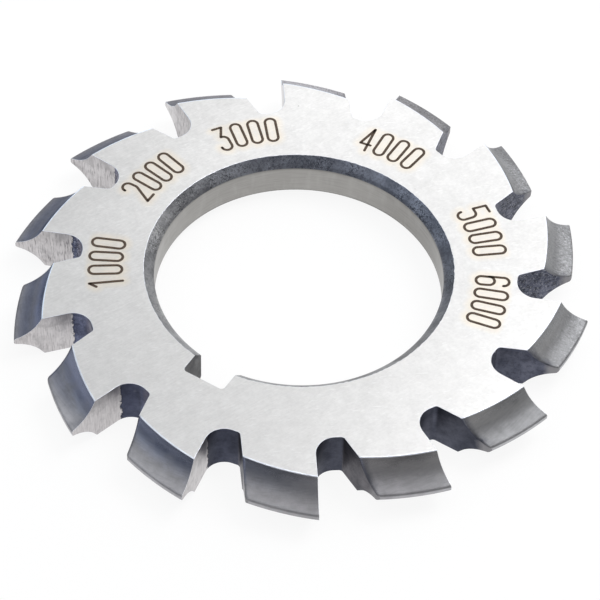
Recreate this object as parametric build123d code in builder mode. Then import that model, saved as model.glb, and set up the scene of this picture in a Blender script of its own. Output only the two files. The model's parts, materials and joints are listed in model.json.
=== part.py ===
from build123d import *
import os
from math import cos, radians, sin, tan

# A form-relieved gear milling cutter, one solid of hardened tool steel, in millimetres.
# The origin is on the bore's axis at half thickness. +Z runs along the bore, -Y through the keyway.
# Seen from +Z, the rake faces look counter-clockwise and the lands fall away clockwise.

# Turned ring
outside_radius = 22.35
thickness = 4.0
bore_radius = 22.225 / 2
bore_chamfer = 0.78
turning_allowance = 1.0

# Keyway
keyway_width = 3.5
keyway_floor = 13.4
keyway_corner = 0.3

# Teeth, with the first cutting edge measured from +X
tooth_count = 14
first_tooth_angle = -80.0
relief_angle = 12.0
relief_lead = 3.0

# Tooth form, measured square to the relieved land, with the knee's height above the form's foot
form_depth = 2.2
tip_width = 0.5
tip_round = 0.2
knee_height = 0.83
knee_width = 1.29
knee_blend = 2.9

# Gullets, each open from one rake face to the back wall of the next tooth
gullet_depth = 5.73
gullet_floor_width = 2.09
gullet_back_slope = 27.8
rake_foot_radius = 1.5
back_foot_radius = 0.35
heel_round = 0.35

# What follows from the sizes above
pitch = 360 / tooth_count
blank_radius = outside_radius + turning_allowance
over_thickness = thickness / 2 + turning_allowance

# The lands are turned about an axis of their own, beside the bore's, so that they drop behind the edge
land_radius = outside_radius * cos(radians(relief_angle))
form_foot = land_radius - form_depth
relief_offset = outside_radius * sin(radians(relief_angle))
relief_centre = Vector(relief_offset, 0).rotate(Axis.Z, 90 - relief_angle)
relief_start = Vector(1, 0).rotate(Axis.Z, relief_lead - relief_angle)

# Each cut of the relieving tool is turned from just ahead of a tooth's edge to behind its heel
relief_plane = Plane(relief_centre, x_dir=relief_start, z_dir=relief_start.rotate(Axis.Z, -90))
relief_axis = Axis(relief_centre, (0, 0, -1))
waste_reach = blank_radius + relief_offset

# What it turns away above one land
with BuildPart() as land_waste:
    with BuildSketch(relief_plane):
        with Locations(((land_radius + waste_reach) / 2, 0)):
            Rectangle(waste_reach - land_radius, 2 * over_thickness)
    revolve(axis=relief_axis, revolution_arc=pitch)

# What it turns away on both sides of one tooth, down to the ground faces
with BuildPart() as form_waste:
    with BuildSketch(relief_plane) as form:
        with BuildLine():
            side = Polyline(
                (land_radius, 0),
                (land_radius, tip_width / 2),
                (form_foot + knee_height, knee_width / 2),
                (form_foot, thickness / 2),
                (form_foot, over_thickness),
                (waste_reach, over_thickness),
                (waste_reach, 0),
            )
            mirror(side, about=Plane.XZ)
        make_face()
        tip_corners = form.vertices().group_by(Axis.X)[2].sort_by(Axis.Y)
        fillet([tip_corners[0], tip_corners[-1]], tip_round)
        knees = form.vertices().group_by(Axis.X)[1]
        fillet(knees, knee_blend)
    revolve(axis=relief_axis, revolution_arc=pitch)

# One gullet: straight down the rake face, round its foot, across the floor and up the back wall
with BuildSketch() as gullet:
    gullet_floor = outside_radius - gullet_depth
    gullet_reach = blank_radius + turning_allowance
    back_wall_run = (gullet_reach - gullet_floor) * tan(radians(gullet_back_slope))
    with BuildLine():
        Polyline(
            (gullet_reach, 0),
            (gullet_floor, 0),
            (gullet_floor, gullet_floor_width),
            (gullet_reach, gullet_floor_width + back_wall_run),
            close=True,
        )
    make_face()
    fillet(gullet.vertices().group_by(Axis.X)[0].sort_by(Axis.Y)[0], rake_foot_radius)
    fillet(gullet.vertices().group_by(Axis.X)[0].sort_by(Axis.Y)[-1], back_foot_radius)

with BuildPart() as gear_cutter:
    # The turned blank, with both mouths of the bore chamfered
    with BuildSketch(Plane.XZ) as ring:
        with Locations(((bore_radius + blank_radius) / 2, 0)):
            Rectangle(blank_radius - bore_radius, thickness)
        chamfer(ring.vertices().group_by(Axis.X)[0], bore_chamfer)
    revolve(axis=Axis.Z)

    # The relieved lands
    with PolarLocations(0, tooth_count, start_angle=first_tooth_angle):
        add(land_waste.part, mode=Mode.SUBTRACT)

    # The gullets between them
    with BuildSketch():
        with PolarLocations(0, tooth_count, start_angle=first_tooth_angle):
            add(gullet.sketch)
    extrude(amount=over_thickness, both=True, mode=Mode.SUBTRACT)

    # Each land is rounded over at its heel, and its cutting edge stays sharp
    heels = gear_cutter.edges().filter_by(Axis.Z).group_by(SortBy.DISTANCE)[-2]
    fillet(heels, heel_round)

    # The form of the teeth, on both sides of each land
    with PolarLocations(0, tooth_count, start_angle=first_tooth_angle):
        add(form_waste.part, mode=Mode.SUBTRACT)

    # The keyway
    with BuildSketch() as keyway:
        with Locations((0, -keyway_floor / 2)):
            Rectangle(keyway_width, keyway_floor)
        fillet(keyway.vertices().group_by(Axis.Y)[0], keyway_corner)
    extrude(amount=over_thickness, both=True, mode=Mode.SUBTRACT)

gear_cutter.part.label = "gear_cutter"

os.makedirs("parts", exist_ok=True)
export_step(gear_cutter.part, "parts/gear_cutter.step")
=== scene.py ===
import bpy
import bmesh
import json
import math
from mathutils import Matrix, Vector, noise


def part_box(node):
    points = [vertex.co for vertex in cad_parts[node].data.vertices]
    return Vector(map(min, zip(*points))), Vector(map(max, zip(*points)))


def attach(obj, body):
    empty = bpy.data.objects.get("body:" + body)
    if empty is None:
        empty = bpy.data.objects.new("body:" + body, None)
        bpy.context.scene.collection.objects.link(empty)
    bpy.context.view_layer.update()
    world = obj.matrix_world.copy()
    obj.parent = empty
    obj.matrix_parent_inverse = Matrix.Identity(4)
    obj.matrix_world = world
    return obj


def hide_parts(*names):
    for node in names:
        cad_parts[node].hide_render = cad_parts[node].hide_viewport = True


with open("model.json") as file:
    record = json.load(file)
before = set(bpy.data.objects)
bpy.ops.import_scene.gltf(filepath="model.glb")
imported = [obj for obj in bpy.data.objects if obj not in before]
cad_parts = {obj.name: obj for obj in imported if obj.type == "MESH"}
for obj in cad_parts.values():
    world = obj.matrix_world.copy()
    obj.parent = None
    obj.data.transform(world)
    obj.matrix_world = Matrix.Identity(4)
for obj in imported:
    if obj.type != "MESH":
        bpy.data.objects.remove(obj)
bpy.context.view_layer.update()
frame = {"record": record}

# A form-relieved gear milling cutter, lying flat on a white table.
# Lengths are in millimetres, and MM turns them into metres where they reach Blender.
MM = 0.001

# Sizes that the frame gives
NODE = "gear_cutter"
HALF_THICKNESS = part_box(NODE)[1][2] / MM
BORE = next(mount for mount in frame["record"]["mounts"] if mount["name"] == "bore")
BORE_RADIUS = BORE["dims"]["r_mm"]
BORE_HALF_WALL = BORE["dims"]["length_mm"] / 2
CHAMFER_RADIUS = BORE_RADIUS + HALF_THICKNESS - BORE_HALF_WALL

# Teeth, as on the solid, with the knee's height above the form's foot
TEETH = 14
PITCH = 360 / TEETH
FIRST_TOOTH = -80.0
OUTSIDE_RADIUS = 22.35
RELIEF_ANGLE = 12.0
TIP_WIDTH = 0.5
TIP_ROUND = 0.2
FORM_DEPTH = 2.2
KNEE_HEIGHT = 0.83
KNEE_WIDTH = 1.29
KNEE_BLEND = 2.9
GULLET_FLOOR = OUTSIDE_RADIUS - 5.73
GULLET_FLOOR_WIDTH = 2.09
GULLET_BACK_SLOPE = 27.8
RAKE_FOOT_RADIUS = 1.5
BACK_FOOT_RADIUS = 0.35
HEEL_ROUND = 0.35

# Keyway
KEYWAY_HALF_WIDTH = 3.5 / 2
KEYWAY_FLOOR = 13.4
KEYWAY_CORNER = 0.3

# Where the ground part of a rake face ends, past the start of its foot, and how ragged that line is
GROUND_END = 0.33
RAGGED_REACH = 0.45

# How far the scale of the gullets creeps over the heel edges onto the flanks
SCALE_REACH = 0.9

# Numerals on the marked face, as on a dial: each number and its place round the bore in degrees.
# They read clockwise, with their tops outwards.
NUMBERS = [
    ("1000", 212.1), ("2000", 173.4), ("3000", 138.5),
    ("4000", 92.2), ("5000", 47.4), ("6000", 19.3),
]
NUMBER_RADIUS = 14.8
DIGIT_WIDTH = 0.84
DIGIT_HEIGHT = 2.54
DIGIT_PITCH = 1.36
STROKE_WIDTH = 0.22
INK_HEIGHT = 0.008
INK_DEPTH = 0.05

# How strokes are divided: the turns at a corner and at a round end in radians, and the least step
CORNER_STEP = 0.5
END_TURNS = (0.0, 0.5, 1.0, 1.4)
LEAST_STEP = 0.01

# The straw-coloured halo that the laser's heat leaves round them
HALO_REACH = 0.75
HALO_STEP = 0.1
HALO_RADII = (12.6, 16.5)
HALO_HALF_LENGTH = 3.4
HALO_FADE = 0.4

# How far the outer rims of the bore's chamfers wander, over what length, and how far apart in the noise
RIM_WANDER = 0.05
RIM_LENGTH = 0.22
RIM_APART = 5

# How finely the surfaces are divided, and how near to each other points are welded
FORM_STEP = 0.14
BAND_STEP = 0.15
LEAST_ARC_STEPS = 4
LAND_STEPS = 22
ACROSS_STEPS = 16
BORE_STEPS = 480
CHAMFER_STEPS = 3
WALL_STEPS = 6
WELD = 1e-4

# The edges of the ground faces are broken by a stone, most where they meet the flanks.
# The cutting edges are hardly broken, and the heels not at all.
EDGE_BREAK = 0.07
EDGE_SHARES = {
    ("ground_face", "relieved_flank"): 1.0,
    ("ground_face", "gullet"): 0.4,
    ("ground_face", "rake_face"): 0.4,
    ("bore_chamfer", "ground_face"): 0.2,
    ("ground_face", "keyway"): 0.2,
    ("rake_face", "relieved_flank"): 0.2,
}
EDGE_ANGLE = math.radians(25)
EDGE_SEGMENTS = 2

ZONES = ["ground_face", "relieved_flank", "rake_face", "gullet", "bore_wall", "bore_chamfer", "keyway"]


# Plane geometry of one tooth, whose rake face lies along +X

def turned(point, degrees):
    """The point turned counter-clockwise about the origin."""
    return Matrix.Rotation(math.radians(degrees), 2) @ point


def rounded(corners, longest):
    """The line through corners (x, y, radius), its inner corners turned into arcs, in short pieces."""
    points = [Vector(corner[:2]) for corner in corners]
    line = [points[0]]
    for before, corner, after, (_, _, radius) in zip(points, points[1:], points[2:], corners[1:]):
        if not radius:
            line += divided(line[-1], corner, longest)
            continue
        back = (before - corner).normalized()
        ahead = (after - corner).normalized()
        half = back.angle(ahead) / 2
        centre = corner + (back + ahead).normalized() * radius / math.sin(half)
        arm = corner + back * radius / math.tan(half) - centre
        sweep = math.pi - 2 * half
        steps = max(LEAST_ARC_STEPS, math.ceil(radius * sweep / longest))
        if back.cross(ahead) > 0:
            sweep = -sweep
        line += divided(line[-1], centre + arm, longest)
        line += [centre + Matrix.Rotation(sweep * (step + 1) / steps, 2) @ arm for step in range(steps)]
    return line + divided(line[-1], points[-1], longest)


def divided(start, end, longest):
    """Evenly spaced points after the start, up to and with the end."""
    count = max(1, math.ceil((end - start).length / longest))
    return [start.lerp(end, (step + 1) / count) for step in range(count)]


RELIEF_OFFSET = OUTSIDE_RADIUS * math.sin(math.radians(RELIEF_ANGLE))
RELIEF_CENTRE = turned(Vector((RELIEF_OFFSET, 0)), 90 - RELIEF_ANGLE)
LAND_RADIUS = OUTSIDE_RADIUS * math.cos(math.radians(RELIEF_ANGLE))

# The form as (depth below the tip, half width) from the edge of the tip's land to a ground face
FORM_CORNERS = [
    (0, 0, 0),
    (0, TIP_WIDTH / 2, TIP_ROUND),
    (FORM_DEPTH - KNEE_HEIGHT, KNEE_WIDTH / 2, KNEE_BLEND),
    (FORM_DEPTH, HALF_THICKNESS, 0),
]
FORM = rounded(FORM_CORNERS, FORM_STEP)[1:]

# The back wall behind the tooth, which belongs to the gullet before it
HEEL_FOOT = turned(Vector((GULLET_FLOOR, GULLET_FLOOR_WIDTH)), -PITCH)
HEEL_ALONG = turned(Vector((1, 0)), GULLET_BACK_SLOPE - PITCH)
HEEL_INWARD = turned(HEEL_ALONG, 90)


def rake_point(depth):
    """Where the form at a depth meets the rake face."""
    radius = LAND_RADIUS - depth
    return Vector((RELIEF_CENTRE.x + math.sqrt(radius**2 - RELIEF_CENTRE.y**2), 0))


def wall_point(radius, inset=0.0):
    """Where a circle about the relief centre meets the back wall, or a line that lies inset from it."""
    foot = HEEL_FOOT + HEEL_INWARD * inset
    gap = foot - RELIEF_CENTRE
    along = gap.dot(HEEL_ALONG)
    return foot + HEEL_ALONG * (math.sqrt(radius**2 - gap.length_squared + along**2) - along)


def heel_point(depth):
    """Where the form at a depth meets the back wall, or the round between the wall and the land."""
    radius = LAND_RADIUS - depth
    centre = wall_point(LAND_RADIUS - HEEL_ROUND, HEEL_ROUND)
    round_foot = centre - HEEL_INWARD * HEEL_ROUND
    if radius <= (round_foot - RELIEF_CENTRE).length:
        return wall_point(radius)
    arm = centre - RELIEF_CENTRE
    cosine = (radius**2 + arm.length_squared - HEEL_ROUND**2) / (2 * radius * arm.length)
    return RELIEF_CENTRE + turned(arm.normalized() * radius, -math.degrees(math.acos(min(1, cosine))))


# Mesh of the whole cutter

def spaced(low, high, steps):
    """Evenly spaced numbers from low to high."""
    return [low + (high - low) * step / steps for step in range(steps + 1)]


class Skin:
    """A mesh made of grids of points, welded where they meet. It is in millimetres until it is done.

    Each point carries three values for the finishes, from 0 to 1: how near the scale of a gullet is,
    how strong the straw-coloured halo is, and how deep in the form the point lies.
    """

    def __init__(self):
        self.bm = bmesh.new()
        self.layers = [self.bm.verts.layers.float.new(name) for name in ("scale", "straw", "form")]

    def patch(self, rows, zone, degrees=0.0):
        """A grid of quads through rows of (x, y, z, scale, straw, form), turned about the bore's axis.

        Values that a point leaves out are 0.
        """
        turn = Matrix.Rotation(math.radians(degrees), 3, "Z")
        grid = [[self.vertex(turn @ Vector(point[:3]), point[3:]) for point in row] for row in rows]
        for row, following in zip(grid, grid[1:]):
            for a, b, c, d in zip(row, row[1:], following[1:], following):
                self.bm.faces.new((a, b, c, d)).material_index = ZONES.index(zone)

    def vertex(self, place, values):
        vert = self.bm.verts.new(place)
        for layer, value in zip(self.layers, values):
            vert[layer] = value
        return vert

    def weld(self):
        bmesh.ops.remove_doubles(self.bm, verts=self.bm.verts, dist=WELD)
        bmesh.ops.dissolve_degenerate(self.bm, edges=self.bm.edges, dist=WELD)

    def close_flat(self, height, zone):
        """Fills the flat face whose outlines are the open edges at a height."""
        rim = [
            edge for edge in self.bm.edges
            if edge.is_boundary and all(abs(vert.co.z - height) < WELD for vert in edge.verts)
        ]
        filled = bmesh.ops.triangle_fill(self.bm, edges=rim, use_beauty=True)
        for face in filled["geom"]:
            if isinstance(face, bmesh.types.BMFace):
                face.material_index = ZONES.index(zone)


def beside(point, edge):
    """1 at an edge, 0 from the reach of the scale on."""
    return max(0.0, 1 - (point - edge).length / SCALE_REACH)


def add_flanks(skin, degrees):
    """The relieved form behind one cutting edge: both flanks and the narrow land between them."""
    rows = []
    for depth, half_width in FORM:
        radius = LAND_RADIUS - depth
        start = rake_point(depth) - RELIEF_CENTRE
        end = heel_point(depth) - RELIEF_CENTRE
        angles = spaced(math.atan2(start.y, start.x), math.atan2(end.y, end.x), LAND_STEPS)
        line = [RELIEF_CENTRE + radius * Vector((math.cos(angle), math.sin(angle))) for angle in angles]
        rows.append((line, half_width, depth / FORM_DEPTH))
    for side in (1, -1):
        grid = [
            [(p.x, p.y, side * half, beside(p, line[-1]), 0.0, form) for p in line]
            for line, half, form in rows
        ]
        skin.patch(grid, "relieved_flank", degrees)
    tip, half, _ = rows[0]
    across = spaced(-half, half, ACROSS_STEPS)
    land = [[(p.x, p.y, z, beside(p, tip[-1])) for p in tip] for z in across]
    skin.patch(land, "relieved_flank", degrees)


def add_band(skin, degrees):
    """The band that runs down a rake face, through its gullet and up the next tooth's back."""
    top = rake_point(FORM_DEPTH)
    heel = turned(heel_point(FORM_DEPTH), PITCH)
    corners = [
        (top.x, 0, 0),
        (GULLET_FLOOR, 0, RAKE_FOOT_RADIUS),
        (GULLET_FLOOR, GULLET_FLOOR_WIDTH, BACK_FOOT_RADIUS),
        (heel.x, heel.y, 0),
    ]
    line = rounded(corners, BAND_STEP)
    ground_end = top.x - GULLET_FLOOR - RAKE_FOOT_RADIUS + GROUND_END
    rows = [(rake_point(depth), half, 0.0, depth / FORM_DEPTH) for depth, half in FORM[:-1]]
    run = 0.0
    for start, end in zip(line, line[1:]):
        scale = 0.5 + (run - ground_end) / (2 * RAGGED_REACH)
        rows.append((start, HALF_THICKNESS, min(1.0, max(0.0, scale)), 1.0))
        run += (end - start).length
    for depth, half in reversed(FORM):
        rows.append((turned(heel_point(depth), PITCH), half, 1.0, depth / FORM_DEPTH))
    grid = [
        [(p.x, p.y, half * z, scale, 0.0, form) for z in spaced(-1, 1, ACROSS_STEPS)]
        for p, half, scale, form in rows
    ]
    ground_rows = sum(scale < 1 for _, _, scale, _ in rows) + 1
    skin.patch(grid[:ground_rows], "rake_face", degrees)
    skin.patch(grid[ground_rows - 1:], "gullet", degrees)


def add_bore(skin):
    """The bore's wall, its two chamfers and the keyway, which cuts all three."""
    radii = spaced(CHAMFER_RADIUS, BORE_RADIUS, CHAMFER_STEPS)
    heights = spaced(HALF_THICKNESS, BORE_HALF_WALL, CHAMFER_STEPS)
    upper = list(zip(radii, heights))
    wall = [(BORE_RADIUS, z) for z in spaced(BORE_HALF_WALL, -BORE_HALF_WALL, WALL_STEPS)]
    lower = [(radius, -z) for radius, z in reversed(upper)]

    def around(radius, z):
        edge = math.asin(KEYWAY_HALF_WIDTH / radius)
        angles = spaced(-math.pi / 2 + edge, 1.5 * math.pi - edge, BORE_STEPS)
        ring = [Vector((math.cos(angle), math.sin(angle), 0)) * radius for angle in angles]
        if abs(z) == HALF_THICKNESS:
            apart = Vector((0, 0, RIM_APART * z))
            wander = [RIM_WANDER * noise.noise(point / RIM_LENGTH + apart) for point in ring]
            wander[0] = wander[-1] = 0
            ring = [point * (1 + out / radius) for point, out in zip(ring, wander)]
        return [(point.x, point.y, z) for point in ring]

    skin.patch([around(*point) for point in upper], "bore_chamfer")
    skin.patch([around(*point) for point in wall], "bore_wall")
    skin.patch([around(*point) for point in lower], "bore_chamfer")

    mouth = upper + wall[1:-1] + lower
    corners = [
        (KEYWAY_HALF_WIDTH, -CHAMFER_RADIUS, 0),
        (KEYWAY_HALF_WIDTH, -KEYWAY_FLOOR, KEYWAY_CORNER),
        (-KEYWAY_HALF_WIDTH, -KEYWAY_FLOOR, KEYWAY_CORNER),
        (-KEYWAY_HALF_WIDTH, -CHAMFER_RADIUS, 0),
    ]
    floor = rounded(corners, BAND_STEP)
    depths = [math.sqrt(radius**2 - KEYWAY_HALF_WIDTH**2) for radius, _ in mouth]
    rows = [[(KEYWAY_HALF_WIDTH, -y, z) for y, (_, z) in zip(depths, mouth)]]
    rows += [[(p.x, p.y, z) for _, z in mouth] for p in floor[1:-1]]
    rows += [[(-KEYWAY_HALF_WIDTH, -y, z) for y, (_, z) in zip(depths, mouth)]]
    skin.patch(rows, "keyway")


# Numerals

def digit_line(digit):
    """The centre line of a digit as corners (x, y, radius), in a box as wide and as high as a digit."""
    w, h = DIGIT_WIDTH, DIGIT_HEIGHT
    bowl = w / 2
    lines = {
        "0": [(bowl, 0, 0), (w, 0, bowl), (w, h, bowl), (0, h, bowl), (0, 0, bowl), (bowl, 0, 0)],
        "1": [(0.15 * w, 0.80 * h, 0), (0.60 * w, h, 0), (0.60 * w, 0, 0)],
        "2": [(0, 0.84 * h, 0), (0, h, bowl), (w, h, bowl), (w, 0.62 * h, bowl), (0, 0, 0), (w, 0, 0)],
        "3": [
            (0.05 * w, h, 0), (0.95 * w, h, 0), (0.42 * w, 0.6 * h, 0),
            (w, 0.6 * h, bowl), (w, 0, bowl), (0, 0, bowl), (0, 0.16 * h, 0),
        ],
        "4": [(0.72 * w, 0, 0), (0.72 * w, h, 0), (0, 0.28 * h, 0), (w, 0.28 * h, 0)],
        "5": [
            (0.92 * w, h, 0), (0.1 * w, h, 0), (0.02 * w, 0.58 * h, 0),
            (w, 0.58 * h, bowl), (w, 0, bowl), (0, 0, bowl), (0, 0.16 * h, 0),
        ],
        "6": [
            (w, 0.84 * h, 0), (w, h, bowl), (0, h, bowl), (0, 0, bowl), (w, 0, bowl), (w, 0.56 * h, bowl),
            (0, 0.56 * h, bowl), (0, 0.4 * h, 0),
        ],
    }
    return rounded(lines[digit], STROKE_WIDTH / 2)


def number_lines(number, degrees):
    """The centre lines of a number's digits, where they stand on the marked face."""
    middle = (len(number) - 1) / 2
    lines = []
    for index, digit in enumerate(number):
        turn = degrees - 90 - math.degrees((index - middle) * DIGIT_PITCH / NUMBER_RADIUS)
        foot = Vector((-DIGIT_WIDTH / 2, NUMBER_RADIUS - DIGIT_HEIGHT / 2))
        lines.append([turned(point + foot, turn) for point in digit_line(digit)])
    return lines


def distance_to(point, line):
    """How far a point lies from a line of short pieces."""
    return min((point - place).length for place in line)


def add_halo(skin, number, degrees):
    """The part of the marked face round a number, straw-coloured where the laser's heat reached it."""
    places = [place for line in number_lines(number, degrees) for place in line]
    low, high = HALO_RADII
    reach = math.degrees(HALO_HALF_LENGTH / NUMBER_RADIUS)
    rows = []
    for radius in spaced(low, high, round((high - low) / HALO_STEP)):
        row = []
        for angle in spaced(degrees - reach, degrees + reach, round(2 * HALO_HALF_LENGTH / HALO_STEP)):
            point = turned(Vector((radius, 0)), angle)
            straw = max(0.0, 1 - distance_to(point, places) / HALO_REACH)
            rim = min(1.0, (high - radius) / HALO_FADE)
            row.append((point.x, point.y, HALF_THICKNESS, 0.0, straw * rim))
        rows.append(row)
    skin.patch(rows, "ground_face")


def cutter_mesh():
    """The whole cutter as one closed mesh, its zones as material slots."""
    skin = Skin()
    for tooth in range(TEETH):
        degrees = FIRST_TOOTH + tooth * PITCH
        add_flanks(skin, degrees)
        add_band(skin, degrees)
    add_bore(skin)
    for number, degrees in NUMBERS:
        add_halo(skin, number, degrees)
    skin.weld()
    skin.close_flat(HALF_THICKNESS, "ground_face")
    skin.close_flat(-HALF_THICKNESS, "ground_face")
    bmesh.ops.dissolve_degenerate(skin.bm, edges=skin.bm.edges, dist=WELD)
    bmesh.ops.recalc_face_normals(skin.bm, faces=skin.bm.faces)

    weights = skin.bm.edges.layers.float.new("bevel_weight_edge")
    for face in skin.bm.faces:
        face.smooth = True
    for edge in skin.bm.edges:
        if len(edge.link_faces) == 2 and edge.calc_face_angle(0) > EDGE_ANGLE:
            sides = sorted(ZONES[face.material_index] for face in edge.link_faces)
            edge[weights] = EDGE_SHARES.get(tuple(sides), 0.0)
    return finished_mesh("cutter", skin.bm)


def finished_mesh(name, bm):
    """A mesh in metres from one in millimetres."""
    mesh = bpy.data.meshes.new(name)
    bm.to_mesh(mesh)
    bm.free()
    mesh.transform(Matrix.Scale(MM, 4))
    return mesh


def stroke_stations(line, closed):
    """Points along a line, each with half a stroke's width across it, more of them at ends and corners."""
    half = STROKE_WIDTH / 2
    stations = []
    for index, point in enumerate(line):
        before = line[index - 1] if index or closed else None
        after = line[(index + 1) % len(line)] if index < len(line) - 1 or closed else None
        back = (point - before).normalized() if before else None
        ahead = (after - point).normalized() if after else None
        if back is None or ahead is None:
            along = back or ahead
            turns = [-turn for turn in reversed(END_TURNS)] if back is None else END_TURNS
            for turn in turns:
                across = Vector((-along.y, along.x)) * half * math.cos(turn)
                stations.append((point + along * half * math.sin(turn), across))
            continue
        sweep = math.atan2(back.cross(ahead), back.dot(ahead))
        steps = 1 + int(abs(sweep) / CORNER_STEP)
        for step in range(steps):
            share = 0.5 if steps == 1 else step / (steps - 1)
            along = Matrix.Rotation(sweep * share, 2) @ back
            stations.append((point, Vector((-along.y, along.x)) * half))
    return stations


def add_stroke(bm, line):
    """A flat bar along a line, with round ends and corners, from the ink's depth to its height."""
    pieces = zip(line, line[1:])
    line = [line[0]] + [end for start, end in pieces if (end - start).length > LEAST_STEP]
    closed = (line[0] - line[-1]).length < STROKE_WIDTH / 2
    if closed:
        line = line[:-1]
    low, high = HALF_THICKNESS - INK_DEPTH, HALF_THICKNESS + INK_HEIGHT
    corners = (1, high), (-1, high), (-1, low), (1, low)
    rings = [
        [bm.verts.new((*(point + across * side), z)) for side, z in corners]
        for point, across in stroke_stations(line, closed)
    ]
    pairs = list(zip(rings, rings[1:]))
    if closed:
        pairs.append((rings[-1], rings[0]))
    for ring, following in pairs:
        for side in range(4):
            bm.faces.new((ring[side], ring[(side + 1) % 4], following[(side + 1) % 4], following[side]))
    if not closed:
        bm.faces.new(rings[0][::-1])
        bm.faces.new(rings[-1])


def number_mesh(number, degrees):
    """The burnt strokes of one number."""
    bm = bmesh.new()
    for line in number_lines(number, degrees):
        add_stroke(bm, line)
    return finished_mesh("number_" + number, bm)


# Directions

def heading(degrees):
    """A level direction, by its angle from +X."""
    return turned(Vector((1, 0)), degrees).to_3d()


# As the camera sees them
VIEW_TURN = 30.3
VIEW_RIGHT = heading(VIEW_TURN)
VIEW_BACK = heading(90 + VIEW_TURN)
UP = Vector((0, 0, 1))

# The sides of the cutter towards which its colours change. Most carry painted light and shade: painted shade
# on the marked face, on the left flanks and in the bore, painted light on the teeth and rakes at the back,
# and a painted bluish light on the chamfer. The others mark a duller sheen on the flanks with a painted
# highlight on their edges, a paler patch and darker teeth on the flanks, and where the rakes are ground
# further.
FACE_PAINTED_SHADE_SIDE = heading(165)
FLANK_DULL = heading(170)
FLANK_PAINTED_SHADE_SIDE = heading(192.8)
FLANK_PATCH = heading(251)
FLANK_DEEP = heading(87)
RAKE_CLEAN = heading(135)
BACK_PAINTED_LIGHT_SIDE = heading(120)
CHAMFER_BLUE_LIGHT_SIDE = heading(85)
BORE_PAINTED_SHADE_SIDE = heading(45)


# Finishes

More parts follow.
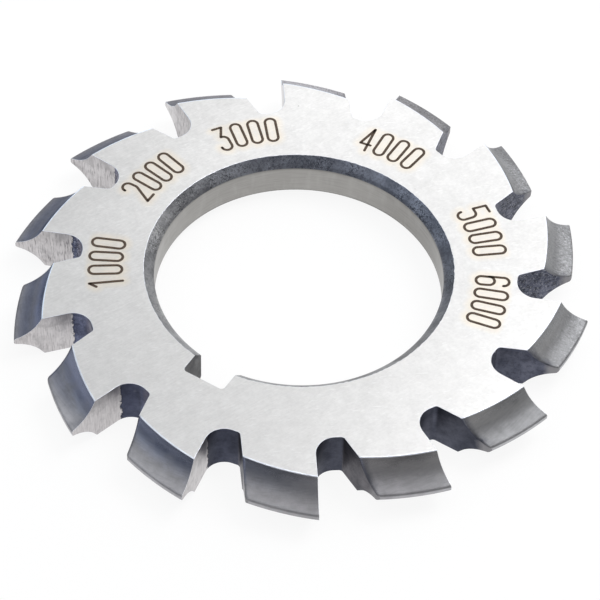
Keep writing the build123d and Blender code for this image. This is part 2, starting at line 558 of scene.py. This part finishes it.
class Finish:
    """A material whose nodes are added by short calls. Lengths in its coordinates are millimetres."""

    def __init__(self, name):
        self.material = bpy.data.materials.new(name)
        self.material.use_nodes = True
        self.tree = self.material.node_tree
        self.shader = self.tree.nodes["Principled BSDF"]

    def add(self, kind, values=(), **settings):
        """A node with some of its sockets set, each to a number, a colour or another node's output."""
        node = self.tree.nodes.new(kind)
        for name, value in settings.items():
            setattr(node, name, value)
        for socket, value in dict(values).items():
            self.put(node.inputs[socket], value)
        return node

    def put(self, socket, value):
        """Links a socket to another node's output, or sets it to a number or a colour."""
        if isinstance(value, bpy.types.NodeSocket):
            self.tree.links.new(value, socket)
        else:
            socket.default_value = value

    def set(self, **values):
        """Sets sockets of the shader, with underscores for the spaces in their names."""
        for name, value in values.items():
            self.put(self.shader.inputs[name.replace("_", " ").title().replace("Ior", "IOR")], value)

    def place(self):
        """The place on the object in millimetres."""
        coordinates = self.add("ShaderNodeTexCoord").outputs["Object"]
        return self.add("ShaderNodeVectorMath", {0: coordinates, 3: 1 / MM}, operation="SCALE").outputs[0]

    def stretched(self, place, degrees, along, across):
        """The place turned about Z and divided by grain lengths along X and Y."""
        turn = self.add("ShaderNodeMapping", {"Vector": place, "Rotation": (0, 0, -math.radians(degrees))})
        grains = (1 / along, 1 / across, 1)
        return self.add("ShaderNodeMapping", {"Vector": turn.outputs[0], "Scale": grains}).outputs[0]

    def polar(self, place, along, across, up):
        """The place as (arc along the circumference, radius, height), divided by grain lengths."""
        parts = self.add("ShaderNodeSeparateXYZ", {0: place})
        angle = self.math("ARCTAN2", parts.outputs[1], parts.outputs[0])
        arc = self.product(angle, OUTSIDE_RADIUS / along)
        out = self.product(self.radius(place), 1 / across)
        height = self.product(parts.outputs[2], 1 / up)
        return self.add("ShaderNodeCombineXYZ", {0: arc, 1: out, 2: height}).outputs[0]

    def radius(self, place):
        """The distance from the bore's axis."""
        flat = self.add("ShaderNodeVectorMath", {0: place, 1: (1, 1, 0)}, operation="MULTIPLY")
        length = self.add("ShaderNodeVectorMath", {0: flat.outputs[0]}, operation="LENGTH")
        return length.outputs["Value"]

    def noise(self, place, scale=1.0, detail=3.0, roughness=0.55):
        """Cloudy noise from 0 to 1, mostly near one half."""
        node = self.add("ShaderNodeTexNoise", {
            "Vector": place, "Scale": scale, "Detail": detail, "Roughness": roughness,
        })
        return node.outputs["Fac"]

    def math(self, operation, a, b):
        """A number worked out from two."""
        return self.add("ShaderNodeMath", {0: a, 1: b}, operation=operation).outputs[0]

    def product(self, first, *others):
        """Numbers multiplied together."""
        for other in others:
            first = self.math("MULTIPLY", first, other)
        return first

    def ramp(self, value, low, high, to_low=0.0, to_high=1.0, smooth=False):
        """The value mapped from low..high to a range of its own, and held there."""
        kind = "SMOOTHSTEP" if smooth else "LINEAR"
        node = self.add("ShaderNodeMapRange", {
            "Value": value, "From Min": low, "From Max": high, "To Min": to_low, "To Max": to_high,
        }, interpolation_type=kind, clamp=True)
        return node.outputs["Result"]

    def mix(self, share, first, second):
        """A colour between two colours."""
        return self.add("ShaderNodeMix", {0: share, 6: first, 7: second}, data_type="RGBA").outputs[2]

    def blend(self, share, first, second):
        """A number between two numbers."""
        return self.add("ShaderNodeMix", {0: share, 2: first, 3: second}, data_type="FLOAT").outputs[0]

    def dim(self, colour, factor):
        """A colour made lighter or darker."""
        return self.add("ShaderNodeVectorMath", {0: colour, 3: factor}, operation="SCALE").outputs[0]

    def tint(self, share, colour, tint):
        """A colour multiplied by a tint."""
        sockets = {0: share, 6: colour, 7: tint}
        return self.add("ShaderNodeMix", sockets, data_type="RGBA", blend_type="MULTIPLY").outputs[2]

    def towards(self, vector, direction, low, high, to_low=0.0, to_high=1.0):
        """How far a place or a normal goes in a direction, as a ramp."""
        node = self.add("ShaderNodeVectorMath", {0: vector, 1: direction}, operation="DOT_PRODUCT")
        return self.ramp(node.outputs["Value"], low, high, to_low, to_high, smooth=True)

    def facing(self, direction, low, high):
        """How far the surface faces in a direction, as a ramp."""
        return self.towards(self.add("ShaderNodeTexCoord").outputs["Normal"], direction, low, high)

    def attribute(self, name):
        """A value that the mesh carries."""
        return self.add("ShaderNodeAttribute", attribute_name=name).outputs["Fac"]

    def bump(self, height, depth):
        """A bump of a depth in millimetres where the height goes from 0 to 1."""
        node = self.add("ShaderNodeBump", {"Height": height, "Strength": 1.0, "Distance": depth * MM})
        return node.outputs["Normal"]


def grey(level, warmth=0.0):
    """A near-grey colour, warmer above zero and cooler below."""
    return (level * (1 + warmth), level, level * (1 - warmth), 1)


# The way of the grinding strokes on the faces, in degrees from +X
GRIND_ANGLE = 66.0


def ground_face():
    """Surface-ground steel: a soft mottle, short soft strokes all one way, pale flecks and a few specks."""
    finish = Finish("ground_face")
    place = finish.place()
    cloud = finish.noise(place, 0.22)
    mottle = finish.noise(place, 0.9, detail=5, roughness=0.7)
    fine = finish.noise(place, 3.4, detail=3, roughness=0.6)
    strokes = finish.noise(finish.stretched(place, GRIND_ANGLE, 1.0, 0.13), detail=4, roughness=0.65)
    hairs = finish.noise(finish.stretched(place, GRIND_ANGLE + 3, 2.2, 0.045), detail=2)
    flecks = finish.noise(finish.stretched(place, GRIND_ANGLE - 12, 0.62, 0.24), detail=3)
    worn = finish.towards(place, VIEW_RIGHT, -6, 14)
    steel = finish.mix(cloud, grey(0.70, 0.006), grey(0.74, 0.004))
    steel = finish.dim(steel, finish.ramp(mottle, 0.34, 0.68, 0.95, 1.05))
    steel = finish.dim(steel, finish.ramp(fine, 0.35, 0.65, 0.97, 1.03))
    stroked = finish.dim(steel, finish.ramp(strokes, 0.36, 0.70, 1.025, 0.94))
    stroked = finish.dim(stroked, finish.ramp(hairs, 0.52, 0.74, 1.0, 0.965))
    steel = finish.mix(finish.ramp(worn, 0.0, 1.0, 1.0, 0.35), steel, stroked)
    steel = finish.mix(finish.ramp(flecks, 0.58, 0.72, 0.0, 0.6), steel, grey(0.84))
    scratches = finish.noise(finish.stretched(place, GRIND_ANGLE - 30, 1.8, 0.07), detail=1)
    steel = finish.mix(finish.ramp(scratches, 0.71, 0.76, 0.0, 0.7), steel, grey(0.95))
    specks = finish.noise(place, 3.3, detail=1)
    steel = finish.mix(finish.ramp(specks, 0.82, 0.85, 0.0, 0.7), steel, grey(0.12))
    warmth = finish.product(finish.attribute("straw"), finish.ramp(mottle, 0.3, 0.7, 0.35, 0.75))
    steel = finish.mix(warmth, steel, (0.82, 0.71, 0.55, 1))
    # Painted shade: the face is darker towards the back left.
    steel = finish.dim(steel, finish.towards(place, FACE_PAINTED_SHADE_SIDE, 12, 18, 1.0, 0.90))
    relief = finish.math("ADD", strokes, finish.product(hairs, 0.3))
    finish.set(
        base_color=steel,
        metallic=1.0,
        roughness=finish.ramp(strokes, 0.2, 0.8, 0.34, 0.40),
        normal=finish.bump(relief, 0.0012),
    )
    return finish.material


def edge_break():
    """Edges broken by a stone: bright, fine and a little uneven, with a painted bluish highlight on the left
    where they face left.
    """
    finish = Finish("edge_break")
    place = finish.place()
    nicks = finish.noise(place, 2.5, detail=3)
    steel = finish.mix(finish.ramp(nicks, 0.35, 0.6), (0.70, 0.72, 0.79, 1), (0.80, 0.83, 0.90, 1))
    # Painted highlight: bluish white and less metallic on edges that face left, on the left side.
    left_highlight = finish.product(finish.towards(place, FLANK_DULL, 4, 12), finish.facing(FLANK_DULL, 0.0, 0.2))
    steel = finish.mix(left_highlight, steel, (0.70, 0.80, 0.93, 1))
    metal = finish.ramp(left_highlight, 0.0, 1.0, 1.0, 0.3)
    finish.set(base_color=steel, metallic=metal, roughness=0.42, normal=finish.bump(nicks, 0.004))
    return finish.material


# Tints of the flanks: a painted bluish light on the left, a touch greener towards the right, a duller sheen
# on the left, and the dark scale that creeps over the heels. The scale is coarser towards the back.
LEFT_LIGHT_BLUE_TINT = (0.66, 0.76, 1.06, 1)
RIGHT_TINT = (0.980, 1.005, 0.995, 1)
DULL_SHEEN = (0.42, 0.44, 0.48, 1)
CREPT_SCALE = (0.075, 0.079, 0.100, 1)


def grit(finish, place):
    """How coarse the grains are, from 0 to 1."""
    return finish.towards(place, VIEW_BACK, -12, 1)


def slate(level):
    """The cool grey of hardened steel."""
    return (level, level * 0.985, level * 1.03, 1)


def flank_tone(finish, place, depth, form):
    """Dark beside the ground faces, lighter down the flanks, and a painted highlight on the land where it
    faces outwards, brighter towards the right.
    """
    steel = finish.mix(finish.ramp(form, 1.0, 0.66, smooth=True), slate(0.200), slate(0.300))
    # Painted highlight on the land where it faces outwards, brighter towards the right.
    land = finish.product(finish.ramp(depth, 0.12, 0.04), finish.facing(UP, 0.45, 0.10))
    pale = finish.mix(finish.towards(place, VIEW_RIGHT, 2, 14), slate(0.42), slate(0.62))
    return finish.mix(land, steel, pale)


def flank_grains(finish, place, steel, grain, form):
    """Bright grains and dark cracks, coarser at the back, on the right and near the tip."""
    crackle = finish.noise(finish.polar(place, 0.13, 0.40, 0.40), detail=3, roughness=0.7)
    coarse = finish.product(
        grit(finish, place),
        finish.ramp(form, 0.9, 0.4, 0.25, 1.0),
        finish.towards(place, VIEW_RIGHT, -6, 6, 0.2, 1.0),
    )
    steel = finish.mix(finish.product(finish.ramp(grain, 0.52, 0.66), coarse, 0.8), steel, slate(0.50))
    return finish.mix(finish.product(finish.ramp(crackle, 0.52, 0.62), coarse, 0.7), steel, slate(0.13))


def flank_painted_blue_light(finish, place, steel, cloud, blue):
    """A painted bluish light on the steel where it faces left, except in one paler patch."""
    patch = finish.product(
        finish.towards(place, FLANK_PATCH, 20.7, 21.9),
        finish.ramp(cloud, 0.38, 0.56, 0.3, 1.0),
    )
    steel = finish.dim(steel, finish.ramp(patch, 0.0, 1.0, 1.0, 1.25))
    blue = finish.product(
        blue,
        finish.facing(-VIEW_RIGHT, -0.15, 0.85),
        finish.ramp(patch, 0.0, 1.0, 1.0, 0.1),
    )
    return finish.tint(blue, steel, LEFT_LIGHT_BLUE_TINT)


def crept_scale(finish, place, steel, form):
    """Scale that creeps over the edges of the heels, on the right."""
    ragged = finish.product(finish.noise(place, 0.9, detail=5, roughness=0.65), 1.3)
    near = finish.math("ADD", finish.attribute("scale"), ragged)
    creep = finish.product(
        finish.ramp(near, 0.95, 1.60, 0.0, 0.95),
        finish.ramp(form, 0.05, 0.35),
        finish.ramp(grit(finish, place), 0.5, 1.0, 1.0, 0.6),
        finish.towards(place, VIEW_RIGHT, 0, 8),
    )
    return finish.mix(creep, steel, CREPT_SCALE)


def relieved_flank():
    """Flanks as hardened: dull slate grey, blotchy and grainy, darkest beside the ground faces, with painted
    light and shade: shade and a bluish light on the left, lighter tips on the left and darker on the right,
    lighter teeth at the back and a highlight on the land.
    """
    finish = Finish("relieved_flank")
    place = finish.place()
    cloud = finish.noise(place, 0.8, detail=5, roughness=0.65)
    grain = finish.noise(place, 5.5, detail=3, roughness=0.75)
    turning = finish.noise(finish.polar(place, 2.5, 0.14, 0.14), detail=3)
    depth = finish.attribute("form")
    form = finish.math("ADD", depth, finish.ramp(cloud, 0.0, 1.0, -0.25, 0.25))
    left = finish.product(finish.towards(place, FLANK_PAINTED_SHADE_SIDE, 6, 18), finish.ramp(depth, 0.8, 0.4))
    left_blue = finish.product(left, finish.ramp(depth, 0.0, 0.2, 0.0, 0.9))
    # Where the painted bluish light falls: beside the ground faces, and on the upper flanks on the left.
    blue = finish.math("MAXIMUM", finish.ramp(form, 0.35, 0.85), left_blue)

    steel = flank_tone(finish, place, depth, form)
    steel = finish.dim(steel, finish.ramp(cloud, 0.35, 0.65, 0.88, 1.10))
    steel = finish.dim(steel, finish.ramp(turning, 0.45, 0.75, 1.04, 0.90))
    # Painted light and shade on the tips: lighter on the left, darker on the right.
    tip = finish.dim(steel, finish.towards(place, VIEW_RIGHT, -12, 10, 1.14, 0.84))
    steel = finish.mix(finish.ramp(depth, 0.40, 0.10), steel, tip)
    # Painted shade on the upper flanks on the left.
    steel = finish.dim(steel, finish.ramp(left, 0.0, 1.0, 1.0, 0.76))
    steel = flank_grains(finish, place, steel, grain, form)
    # Painted light on the teeth at the back.
    steel = finish.dim(steel, finish.towards(place, BACK_PAINTED_LIGHT_SIDE, 19.5, 21.6, 1.0, 1.4))
    steel = finish.dim(steel, finish.towards(place, FLANK_DEEP, 19.6, 20.8, 1.0, 0.80))
    steel = finish.tint(finish.towards(place, VIEW_RIGHT, 6, 16), steel, RIGHT_TINT)
    steel = flank_painted_blue_light(finish, place, steel, cloud, blue)
    steel = crept_scale(finish, place, steel, form)

    relief = finish.math("ADD", finish.product(grain, 0.8), turning)
    dull = finish.towards(place, FLANK_DULL, 6, 13)
    finish.set(
        base_color=steel,
        metallic=1.0,
        roughness=finish.ramp(form, 1.0, 0.40, 0.20, 0.60),
        specular_tint=finish.mix(dull, (1, 1, 1, 1), DULL_SHEEN),
        normal=finish.bump(relief, 0.004),
    )
    return finish.material


def scale_look(finish, place, tones, calm, grain_scale=3.0):
    """Hardening scale, cloudy and dark, peppered with black and bright grains where it is coarse.

    The tones are its dark, its light and its bright grains. Calm is how little of the pepper the
    calmest patches keep. Returns its colour, its roughness and its height.
    """
    dark, light, bright = tones
    cloud = finish.noise(place, 0.55, detail=4, roughness=0.6)
    grain = finish.noise(place, grain_scale, detail=3, roughness=0.75)
    pepper = finish.noise(place, 2.2 * grain_scale, detail=2, roughness=0.8)
    patches = finish.ramp(finish.noise(place, 0.35, detail=2), 0.42, 0.60, calm, 1.0)
    coarse = finish.product(grit(finish, place), patches)
    colour = finish.mix(finish.ramp(cloud, 0.34, 0.66), dark, light)
    black = finish.product(finish.ramp(grain, 0.50, 0.58), finish.ramp(coarse, 0.0, 1.0, 0.10, 0.85))
    colour = finish.mix(black, colour, [part * 0.40 for part in dark[:3]] + [1])
    grains = finish.product(finish.ramp(pepper, 0.55, 0.64), finish.ramp(coarse, 0.3, 1.0, 0.0, 0.65))
    colour = finish.mix(grains, colour, bright)
    return colour, finish.ramp(grain, 0.2, 0.8, 0.38, 0.55), finish.math("ADD", grain, pepper)


# The dark, the light and the bright grains of the scale in each place, with the painted light on it: bluish
# tints of painted light, and painted light on walls, floors and sides
GULLET_TONES = (0.057, 0.063, 0.092, 1), (0.133, 0.141, 0.186, 1), (0.48, 0.49, 0.52, 1)
GULLET_LEFT_LIGHT_TINT = (0.76, 0.80, 0.96, 1)
WALL_PAINTED_LIGHT_TINT = (1.624, 1.45, 1.247, 1)
PAINTED_LIT_FLOORS = [
    (heading(254.3), (1.9, 1.9, 1.9, 1)),
    (heading(232), (1.8, 1.85, 1.6, 1)),
]
CHAMFER_TONES = (0.140, 0.142, 0.150, 1), (0.315, 0.318, 0.327, 1), (0.56, 0.565, 0.57, 1)
CHAMFER_BLUE_LIGHT_TINT = (0.70, 0.75, 0.89, 1)
CHAMFER_PAINTED_LIGHT_SIDES = [(heading(235), 1.4), (heading(45), 1.2)]
KEYWAY_TONES = (0.026, 0.026, 0.029, 1), (0.115, 0.115, 0.120, 1), (0.30, 0.30, 0.30, 1)


def gullet_scale(finish, place):
    """The scale of the gullets, with painted light and shade: a bluish light on the left, shade at the
    front, and light on the far left, on walls that face left and on two floors.
    """
    colour, roughness, height = scale_look(finish, place, GULLET_TONES, 0.75)
    # Painted light and shade: a bluish light on the left, shade at the front, light on the far left, on
    # walls facing left and on two floors at the front left.
    colour = finish.tint(finish.towards(place, -VIEW_RIGHT, -6, 15), colour, GULLET_LEFT_LIGHT_TINT)
    colour = finish.dim(colour, finish.towards(place, -VIEW_BACK, 6, 18, 1.0, 0.60))
    colour = finish.dim(colour, finish.towards(place, -VIEW_RIGHT, 11, 16, 1.0, 1.35))
    colour = finish.tint(finish.facing(-VIEW_RIGHT, 0.52, 0.76), colour, WALL_PAINTED_LIGHT_TINT)
    for side, tint in PAINTED_LIT_FLOORS:
        floor = finish.product(finish.facing(side, 0.92, 0.99), finish.towards(place, side, 15.9, 16.5))
        colour = finish.tint(floor, colour, tint)
    return colour, roughness, height


def gullet():
    """Gullets, covered with scale up to the heels, which are bare at their tips, and on the left worn bare
    and painted paler as if lit.
    """
    finish = Finish("gullet")
    place = finish.place()
    colour, roughness, height = gullet_scale(finish, place)
    ragged = finish.ramp(finish.noise(place, 1.2, detail=4), 0.0, 1.0, -0.2, 0.2)
    form = finish.math("ADD", finish.attribute("form"), ragged)
    # Worn bare heels on the left, painted paler as painted light.
    worn = finish.product(finish.ramp(form, 0.95, 0.4), finish.towards(place, -VIEW_RIGHT, -6, 4))
    colour = finish.mix(worn, colour, slate(0.48))
    bare = finish.ramp(form, 0.46, 0.22)
    colour = finish.mix(bare, colour, slate(0.30))
    roughness = finish.blend(bare, roughness, 0.6)
    finish.set(base_color=colour, metallic=1.0, roughness=roughness, normal=finish.bump(height, 0.010))
    return finish.material


def bore_chamfer():
    """The chamfer of the bore: thin scale, greyer than in the gullets, with a painted bluish light at the
    back and painted light on the left and the right.
    """
    finish = Finish("bore_chamfer")
    place = finish.place()
    colour, roughness, height = scale_look(finish, place, CHAMFER_TONES, 0.2, grain_scale=5.0)
    # Painted bluish light at the back, and painted light on the left and the right.
    colour = finish.tint(finish.towards(place, CHAMFER_BLUE_LIGHT_SIDE, -4, 12), colour, CHAMFER_BLUE_LIGHT_TINT)
    for side, factor in CHAMFER_PAINTED_LIGHT_SIDES:
        colour = finish.dim(colour, finish.towards(place, side, 5, 12, 1.0, factor))
    finish.set(base_color=colour, metallic=1.0, roughness=roughness, normal=finish.bump(height, 0.008))
    return finish.material


def keyway():
    """The keyway: dark uneven scale without blue."""
    finish = Finish("keyway")
    place = finish.place()
    colour, roughness, height = scale_look(finish, place, KEYWAY_TONES, 1.0, grain_scale=2.4)
    finish.set(base_color=colour, metallic=1.0, roughness=roughness, normal=finish.bump(height, 0.010))
    return finish.material


def rake_steel(finish, place, streaks):
    """Pale streaky steel, smudged, darker towards the marked face, and painted lighter on the teeth at the
    back.
    """
    fine = finish.noise(finish.polar(place, 4.0, 0.09, 0.8), detail=3)
    smudge = finish.noise(place, 1.2, detail=4, roughness=0.6)
    cloud = finish.noise(place, 0.45, detail=2)
    coarse = finish.ramp(grit(finish, place), 0.0, 1.0, 0.25, 0.9)
    upper = finish.towards(place, UP, 0.2, 2.0, 0.0, 0.6)
    shaded = finish.math("ADD", upper, finish.ramp(smudge, 0.35, 0.65, -0.3, 0.4))
    steel = finish.mix(finish.ramp(streaks, 0.32, 0.62), (0.50, 0.480, 0.487, 1), (0.62, 0.598, 0.605, 1))
    steel = finish.mix(finish.product(finish.ramp(fine, 0.52, 0.64), coarse), steel, (0.20, 0.190, 0.197, 1))
    steel = finish.mix(finish.ramp(cloud, 0.45, 0.75, 0.0, 0.5), steel, (0.72, 0.70, 0.71, 1))
    steel = finish.mix(finish.ramp(smudge, 0.50, 0.72, 0.0, 0.55), steel, (0.34, 0.33, 0.34, 1))
    steel = finish.mix(finish.ramp(shaded, 0.1, 0.9, 0.0, 0.5), steel, (0.33, 0.32, 0.325, 1))
    # Painted light on the rakes of the teeth at the back.
    return finish.mix(finish.towards(place, BACK_PAINTED_LIGHT_SIDE, 17, 20, 0.0, 0.6), steel, (0.86, 0.85, 0.855, 1))


def torn_edge(finish, place):
    """Where the scale's torn edge runs: about 1 on it, less on the ground rake and more on the scale."""
    torn = finish.noise(finish.polar(place, 4.0, 0.10, 0.7), detail=3, roughness=0.65)
    chipped = finish.noise(place, 1.9, detail=4, roughness=0.65)
    edge = finish.math("ADD", finish.attribute("scale"), finish.blend(0.60, torn, chipped))
    return finish.math("SUBTRACT", edge, finish.towards(place, RAKE_CLEAN, 13, 15.5, 0.0, 0.4))


def rake_face():
    """Ground rake faces: pale, finely streaked across the thickness, down to the torn edge of the scale."""
    finish = Finish("rake_face")
    place = finish.place()
    streaks = finish.noise(finish.polar(place, 4.0, 0.10, 1.6), detail=4, roughness=0.65)
    steel = rake_steel(finish, place, streaks)
    scale, scale_roughness, scale_height = gullet_scale(finish, place)
    edge = torn_edge(finish, place)
    covered = finish.ramp(edge, 0.97, 1.03)
    scale = finish.dim(scale, finish.ramp(edge, 1.03, 1.16, 0.55, 1.0))
    roughness = finish.ramp(streaks, 0.2, 0.8, 0.44, 0.30)
    finish.set(
        base_color=finish.mix(covered, steel, scale),
        metallic=1.0,
        roughness=finish.blend(covered, roughness, scale_roughness),
        normal=finish.bump(finish.blend(covered, streaks, scale_height), 0.005),
    )
    return finish.material


def bore_wall():
    """The ground bore: smooth warm grey, with soft streaks round the circumference and painted shade on the
    right.
    """
    finish = Finish("bore_wall")
    place = finish.place()
    lines = finish.noise(finish.polar(place, 5.0, 1.0, 0.10), detail=3)
    chatter = finish.noise(finish.polar(place, 1.6, 1.0, 3.0), detail=3)
    cloud = finish.noise(place, 0.35)
    steel = finish.mix(cloud, (0.30, 0.292, 0.280, 1), (0.38, 0.372, 0.360, 1))
    steel = finish.mix(finish.ramp(lines, 0.45, 0.80, 0.0, 0.5), steel, (0.22, 0.214, 0.205, 1))
    steel = finish.mix(finish.ramp(chatter, 0.50, 0.80, 0.0, 0.4), steel, (0.46, 0.452, 0.44, 1))
    # Painted shade: the bore wall is darker on the right.
    steel = finish.dim(steel, finish.towards(place, BORE_PAINTED_SHADE_SIDE, 7, 11, 1.0, 0.82))
    finish.set(
        base_color=steel,
        metallic=1.0,
        roughness=finish.ramp(lines, 0.2, 0.8, 0.28, 0.40),
        normal=finish.bump(lines, 0.002),
    )
    return finish.material


def laser_mark():
    """The brown of a laser mark, a little uneven."""
    finish = Finish("laser_mark")
    place = finish.place()
    grain = finish.noise(place, 7.0, detail=3)
    brown = finish.mix(finish.ramp(grain, 0.3, 0.7), (0.048, 0.034, 0.026, 1), (0.110, 0.080, 0.060, 1))
    finish.set(
        base_color=brown,
        metallic=0.0,
        roughness=0.8,
        specular_ior_level=0.2,
        normal=finish.bump(grain, 0.01),
    )
    return finish.material


# The cutter itself
cutter = bpy.data.objects.new("cutter_body", cutter_mesh())
bpy.context.collection.objects.link(cutter)
finishes = {
    "ground_face": ground_face(),
    "relieved_flank": relieved_flank(),
    "rake_face": rake_face(),
    "gullet": gullet(),
    "bore_wall": bore_wall(),
    "bore_chamfer": bore_chamfer(),
    "keyway": keyway(),
}
for zone in ZONES:
    cutter.data.materials.append(finishes[zone])
cutter.data.materials.append(edge_break())
edges = cutter.modifiers.new("edge_break", "BEVEL")
edges.limit_method = "WEIGHT"
edges.width = EDGE_BREAK * MM
edges.segments = EDGE_SEGMENTS
edges.use_clamp_overlap = False
edges.harden_normals = True
edges.material = len(ZONES)
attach(cutter, "root")
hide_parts(NODE)

# The burnt strokes of the numerals
ink = laser_mark()
for number, degrees in NUMBERS:
    strokes = bpy.data.objects.new("number_" + number, number_mesh(number, degrees))
    bpy.context.collection.objects.link(strokes)
    strokes.data.materials.append(ink)
    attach(strokes, "root")


# Camera, from the photograph's perspective
CAMERA_PLACE = Vector((62.01, -106.13, 139.35))
CAMERA_TARGET = Vector((1.00, -1.405, 0))
CAMERA_ROLL = 2.26
CAMERA_LENS = 144.56
SENSOR = 36.0
CLIP_START, CLIP_END = 10, 20000

camera_data = bpy.data.cameras.new("camera")
camera_data.lens = CAMERA_LENS
camera_data.sensor_width = SENSOR
camera_data.clip_start = CLIP_START * MM
camera_data.clip_end = CLIP_END * MM
camera = bpy.data.objects.new("camera", camera_data)
bpy.context.collection.objects.link(camera)
aim = (CAMERA_TARGET - CAMERA_PLACE).to_track_quat("-Z", "Y")
camera.matrix_world = (
    Matrix.Translation(CAMERA_PLACE * MM)
    @ aim.to_matrix().to_4x4()
    @ Matrix.Rotation(math.radians(CAMERA_ROLL), 4, "Z")
)
bpy.context.scene.camera = camera


# Table, lamps and surroundings, placed as the camera sees them: to the right, to the back and up

def seen(right, back, up):
    """A place in metres, from millimetres along the camera's directions."""
    return (VIEW_RIGHT * right + VIEW_BACK * back + Vector((0, 0, up))) * MM


def area_lamp(name, place, side, power, colour):
    """A square lamp that faces the cutter."""
    data = bpy.data.lights.new(name, "AREA")
    data.shape = "SQUARE"
    data.size = side * MM
    data.energy = power
    data.color = colour
    lamp = bpy.data.objects.new(name, data)
    lamp.location = place
    lamp.rotation_euler = (-place).to_track_quat("-Z", "Y").to_euler()
    bpy.context.collection.objects.link(lamp)


# The table's width, and how far it shows its plain white instead of its lit surface
TABLE_SIZE = 4000
WHITE_SHARE = 0.9


def white_table():
    """Partly plain white to the camera and in reflections, and else lit, so that it holds a shadow."""
    finish = Finish("white_table")
    finish.set(base_color=grey(0.9), roughness=0.9, specular_ior_level=0.1)
    path = finish.add("ShaderNodeLightPath")
    shown = finish.math("MAXIMUM", path.outputs["Is Camera Ray"], path.outputs["Is Glossy Ray"])
    shown = finish.math("MAXIMUM", shown, path.outputs["Is Transmission Ray"])
    white = finish.add("ShaderNodeEmission", {"Color": (1, 1, 1, 1), "Strength": 1.0})
    share = finish.product(shown, WHITE_SHARE)
    blend = finish.add("ShaderNodeMixShader", {0: share, 1: finish.shader.outputs[0], 2: white.outputs[0]})
    output = finish.tree.nodes["Material Output"]
    finish.tree.links.new(blend.outputs[0], output.inputs["Surface"])
    return finish.material


bpy.ops.mesh.primitive_plane_add(size=TABLE_SIZE * MM, location=(0, 0, -HALF_THICKNESS * MM))
table = bpy.context.object
table.name = "table"
table.data.materials.append(white_table())

# The world's strength, its colours on the left and elsewhere, and where one goes over into the other
WORLD_STRENGTH = 0.31
WORLD_TINTS = (0.88, 0.95, 1.04, 1), (0.985, 0.99, 1.0, 1)
WORLD_TURN = (-0.9, -0.2)


def studio_world():
    """Even light from all round, a little bluer from the left."""
    world = bpy.data.worlds.new("studio")
    world.use_nodes = True
    nodes, links = world.node_tree.nodes, world.node_tree.links
    coordinates = nodes.new("ShaderNodeTexCoord")
    rightwards = nodes.new("ShaderNodeVectorMath")
    rightwards.operation = "DOT_PRODUCT"
    rightwards.inputs[1].default_value = VIEW_RIGHT
    links.new(coordinates.outputs["Generated"], rightwards.inputs[0])
    share = nodes.new("ShaderNodeMapRange")
    share.inputs["From Min"].default_value, share.inputs["From Max"].default_value = WORLD_TURN
    links.new(rightwards.outputs["Value"], share.inputs["Value"])
    tint = nodes.new("ShaderNodeMix")
    tint.data_type = "RGBA"
    tint.inputs[6].default_value, tint.inputs[7].default_value = WORLD_TINTS
    links.new(share.outputs["Result"], tint.inputs[0])
    background = nodes["Background"]
    links.new(tint.outputs[2], background.inputs["Color"])
    background.inputs["Strength"].default_value = WORLD_STRENGTH
    return world


# Softboxes round the table, as (name, degrees from the back to the right, degrees up, watts, colour)
NEUTRAL = (1, 1, 1)
WARM = (1, 0.97, 0.93)
COOL = (0.88, 0.95, 1)
FAR_DISTANCE, FAR_SIDE = 320, 170
FAR_SOFTBOXES = [
    ("top", 0, 88, 0.141, NEUTRAL),
    ("back_low", 0, 12, 0.102, NEUTRAL),
    ("back_right_low", 45, 12, 0.020, NEUTRAL),
    ("back_right_high", 60, 58, 0.260, NEUTRAL),
    ("right_low", 90, 12, 0.054, WARM),
    ("front_right_low", 135, 12, 0.047, WARM),
    ("front_low", 180, 12, 0.030, WARM),
    ("left", 270, 35, 0.079, COOL),
    ("back_left_high", 300, 58, 0.062, COOL),
    ("back_left_low", 318, 30, 0.055, COOL),
]
NEAR_DISTANCE, NEAR_SIDE = 170, 90
NEAR_SOFTBOXES = [
    ("key", 60, 58, 0.080, NEUTRAL),
    ("near_back_right", 45, 32, 0.048, NEUTRAL),
    ("near_back", 0, 32, 0.031, NEUTRAL),
    ("near_front_left", 240, 58, 0.033, NEUTRAL),
]


def softboxes(rows, distance, side):
    """Square lamps at one distance from the cutter."""
    for name, azimuth, height, power, colour in rows:
        azimuth, height = math.radians(azimuth), math.radians(height)
        level = distance * math.cos(height)
        place = seen(level * math.sin(azimuth), level * math.cos(azimuth), distance * math.sin(height))
        area_lamp(name, place, side, power, colour)


softboxes(FAR_SOFTBOXES, FAR_DISTANCE, FAR_SIDE)
softboxes(NEAR_SOFTBOXES, NEAR_DISTANCE, NEAR_SIDE)
bpy.context.scene.world = studio_world()

bpy.context.scene.view_settings.view_transform = "Standard"
